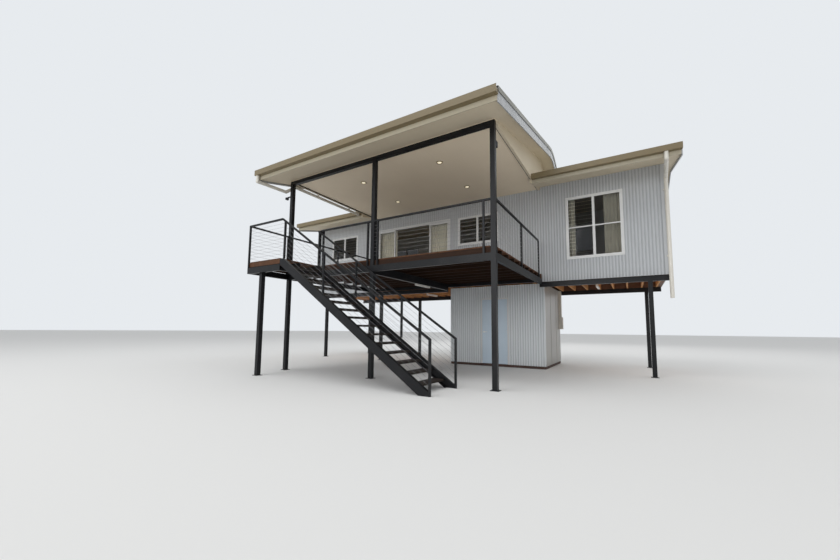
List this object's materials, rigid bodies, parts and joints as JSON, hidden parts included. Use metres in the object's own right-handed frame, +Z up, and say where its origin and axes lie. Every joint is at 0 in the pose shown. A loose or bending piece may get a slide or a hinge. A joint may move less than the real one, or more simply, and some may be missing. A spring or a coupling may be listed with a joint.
{
  "type": "stilt house",
  "caption": "Raised house on black steel posts with a deep roofed verandah, an open side stair and a small store room below.",
  "frame": {"origin": "centre of the foot of the middle verandah post, on the ground", "axes": "+X to the right along the front, +Y back into the house, +Z up"},
  "size_m": [12.816, 9.355, 6.5315],
  "materials": {
    "black_steel": "satin",
    "joist_timber": "rough",
    "floor_sheet": "matte",
    "deck_timber": "oiled",
    "tread_timber": "weathered",
    "wall_sheet": "satin",
    "store_sheet": "satin",
    "lining": "matte",
    "soffit_lining": "matte",
    "roof_sheet": "satin",
    "trim": "satin",
    "gutter_metal": "satin",
    "white_frame": "gloss",
    "pane": "clear",
    "white_pipe": "gloss",
    "lamp": "translucent",
    "slab": "rough",
    "door_paint": "satin",
    "handle_metal": "brushed"
  },
  "bodies": {
    "house": {"posts": "black_steel", "floor_beams": "black_steel", "floor_joists": "joist_timber", "house_floor": "floor_sheet", "deck_beams": "black_steel", "deck_joists": "deck_timber", "deck_floor": "deck_timber", "landing_frame": "black_steel", "landing_floor": "deck_timber", "stair_stringers": "black_steel", "stair_treads": "tread_timber", "stair_rails": "black_steel", "deck_rails": "black_steel", "front_wall_left": "wall_sheet", "front_wall_over_door": "wall_sheet", "front_wall_right": "wall_sheet", "rear_wall": "wall_sheet", "end_walls": "wall_sheet", "house_ceiling": "lining", "window_frames": "white_frame", "window_glass": "pane", "slider_frame": "white_frame", "slider_leaves": "white_frame", "main_roof": "roof_sheet", "main_soffit": "soffit_lining", "main_fascia": "trim", "main_barges": "trim", "main_gutters": "gutter_metal", "verandah_beams": "black_steel", "verandah_ceiling": "lining", "verandah_roof": "roof_sheet", "verandah_soffit": "soffit_lining", "gable_infills": "soffit_lining", "verandah_fascia": "trim", "verandah_barges": "trim", "verandah_gutter": "gutter_metal", "downpipes": "white_pipe", "lamps": "lamp", "spotlights": "black_steel", "store_slab": "slab", "store_front_wall": "store_sheet", "store_walls": "store_sheet", "store_door_frame": "white_frame"},
    "room_door": {"store_door": "door_paint", "store_door_handle": "handle_metal"}
  },
  "joints": [
    {"name": "store_door_hinge", "type": "hinge", "parent": "house", "child": "room_door", "pos_m": [1.893, 4.371, 1.1], "axis": [0, 0, 1], "range_deg": [0, 100]}
  ]
}
